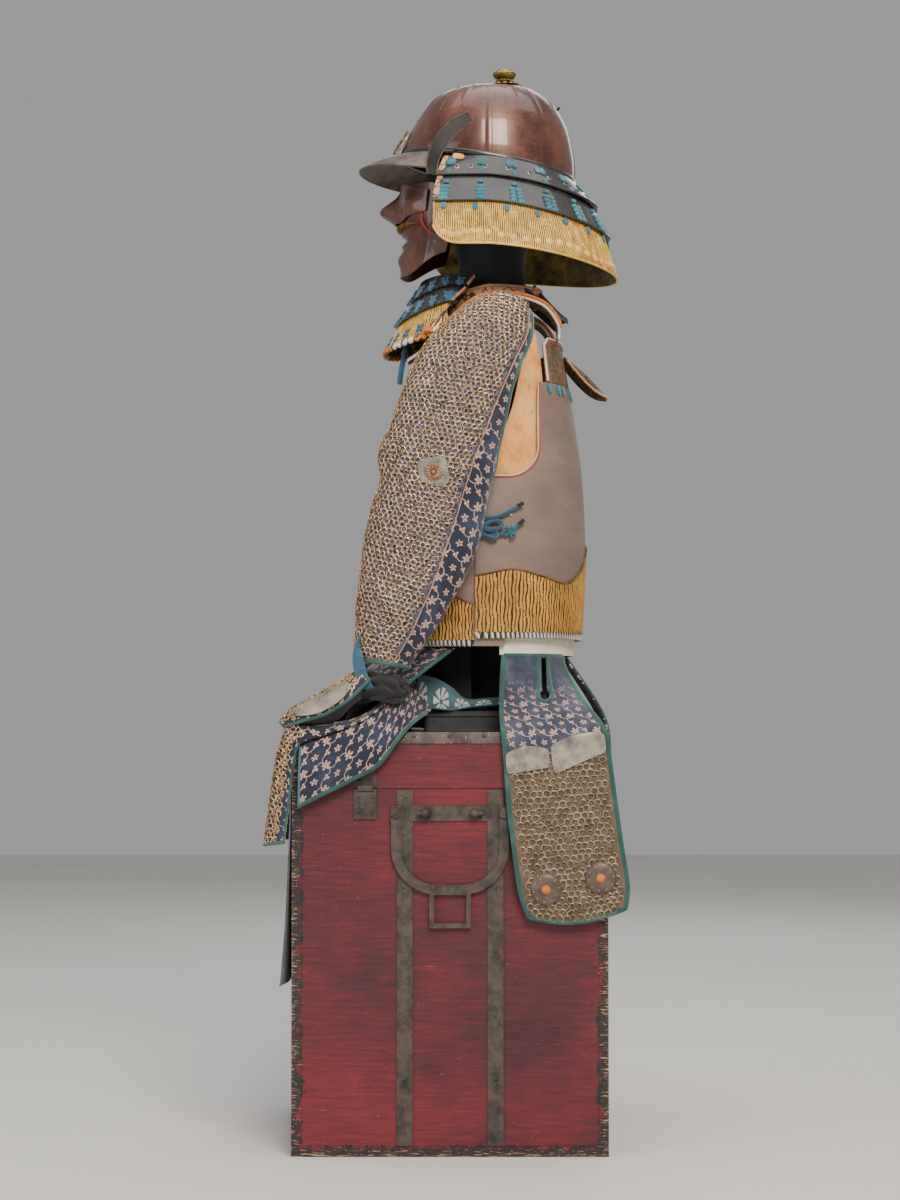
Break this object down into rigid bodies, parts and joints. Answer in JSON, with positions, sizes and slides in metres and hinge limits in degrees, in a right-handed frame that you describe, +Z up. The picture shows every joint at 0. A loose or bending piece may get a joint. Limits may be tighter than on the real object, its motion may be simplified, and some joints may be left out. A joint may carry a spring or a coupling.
{
  "type": "samurai armour on a limbless stand and storage chest",
  "caption": "Samurai armour with helmet, mask, cuirass, mailed sleeves and cloth skirts, worn by a limbless stand on a lacquered chest with iron straps.",
  "frame": {"origin": "middle of the chest's underside, on the floor", "axes": "+Z up, -Y the way the armour faces, +X its left side"},
  "size_m": [0.4672, 0.46, 1.4231],
  "materials": {
    "red_lacquer": "worn satin lacquer",
    "strap_iron": "dark worn iron",
    "black_wood": "matt black lacquer",
    "black_cotton": "matt woven cotton",
    "russet_iron": "russet lacquered iron",
    "black_lacquer": "satin black lacquer",
    "gold_lacquer": "gold lacquer over ribs",
    "brass": "aged gilt brass",
    "bristle": "stiff hair",
    "brown_lacquer": "matt brown lacquer",
    "buff_leather": "smoked deerskin",
    "pattern_leather": "printed leather",
    "brocade": "flowered silk and hemp",
    "ring_mail": "small butted rings",
    "grey_iron": "dull grey iron",
    "printed_cotton": "printed cotton",
    "cream_hemp": "plain hemp",
    "blue_silk": "braided silk"
  },
  "bodies": {
    "root": {"chest_body": "red_lacquer", "chest_lid": "red_lacquer", "chest_irons_left": "strap_iron", "chest_irons_right": "strap_iron", "chest_handle_left": "strap_iron", "chest_handle_right": "strap_iron", "stand_block": "black_wood", "stand_form": "black_cotton", "helmet_bowl": "russet_iron", "helmet_peak": "russet_iron", "mask_face": "russet_iron", "mask_nose": "russet_iron", "neck_lame_1": "black_lacquer", "neck_lame_2": "black_lacquer", "turnback_left": "black_lacquer", "turnback_right": "black_lacquer", "throat_lame_1": "black_lacquer", "throat_lame_2": "black_lacquer", "neck_lame_3": "gold_lacquer", "throat_lame_3": "gold_lacquer", "cuirass_hem_front": "gold_lacquer", "cuirass_hem_back": "gold_lacquer", "crest_holder": "brass", "helmet_finial": "brass", "mask_moustache": "bristle", "cuirass_front": "brown_lacquer", "cuirass_back": "brown_lacquer", "armhole_lining_left": "buff_leather", "armhole_lining_right": "buff_leather", "neck_collar": "buff_leather", "collar_board": "pattern_leather", "shoulder_strap_left": "pattern_leather", "shoulder_strap_right": "pattern_leather", "back_leaf": "pattern_leather", "sleeve_left": "brocade", "sleeve_right": "brocade", "hand_guard_left": "brocade", "hand_guard_right": "brocade", "thigh_apron_left": "brocade", "thigh_apron_right": "brocade", "thigh_wing_left": "brocade", "thigh_wing_right": "brocade", "thigh_fall_left": "brocade", "thigh_fall_right": "brocade", "skirt_side_left": "brocade", "skirt_side_right": "brocade", "skirt_front_left": "brocade", "skirt_front_right": "brocade", "skirt_back": "brocade", "sleeve_mail_left": "ring_mail", "sleeve_mail_right": "ring_mail", "skirt_mail_left": "ring_mail", "skirt_mail_right": "ring_mail", "hand_plate_left": "grey_iron", "hand_plate_right": "grey_iron", "waist_tie": "printed_cotton", "skirt_band": "cream_hemp", "side_tie_left": "blue_silk", "side_tie_right": "blue_silk", "chin_cord": "blue_silk"}
  },
  "joints": []
}
